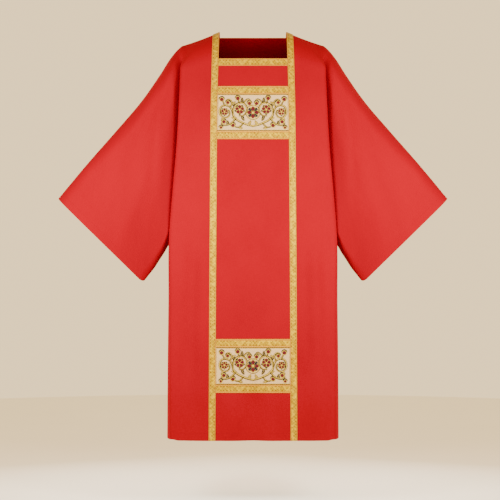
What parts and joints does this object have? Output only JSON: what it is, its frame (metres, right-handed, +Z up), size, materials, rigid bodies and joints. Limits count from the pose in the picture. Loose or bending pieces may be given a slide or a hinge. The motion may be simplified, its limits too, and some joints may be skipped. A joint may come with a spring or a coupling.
{
  "type": "dalmatic",
  "caption": "Wide-sleeved church vestment, filled out as worn but empty, open at neck, cuffs and hem, with gold braid and embroidered panels down the front.",
  "frame": {"origin": "on the shoulder seam's ridge, midway between the two shoulders, where the wearer carries the garment", "axes": "+Z up, the garment's front faces -Y, and the wearer's left side is at +X"},
  "size_m": [1.232, 0.2868, 1.2774],
  "materials": {
    "red_cloth": "matte woven cloth with a soft sheen",
    "gold_braid": "woven metallic braid, satin",
    "embroidered_panel": "cream ground with gold, red and charcoal embroidery"
  },
  "bodies": {
    "root": {"front": "red_cloth", "back": "red_cloth", "left_sleeve": "red_cloth", "right_sleeve": "red_cloth", "left_braid": "gold_braid", "right_braid": "gold_braid", "front_neck_band": "gold_braid", "back_neck_band": "gold_braid", "band_above_upper_panel": "gold_braid", "upper_panel": "embroidered_panel", "band_below_upper_panel": "gold_braid", "band_above_lower_panel": "gold_braid", "lower_panel": "embroidered_panel", "band_below_lower_panel": "gold_braid"}
  },
  "joints": []
}
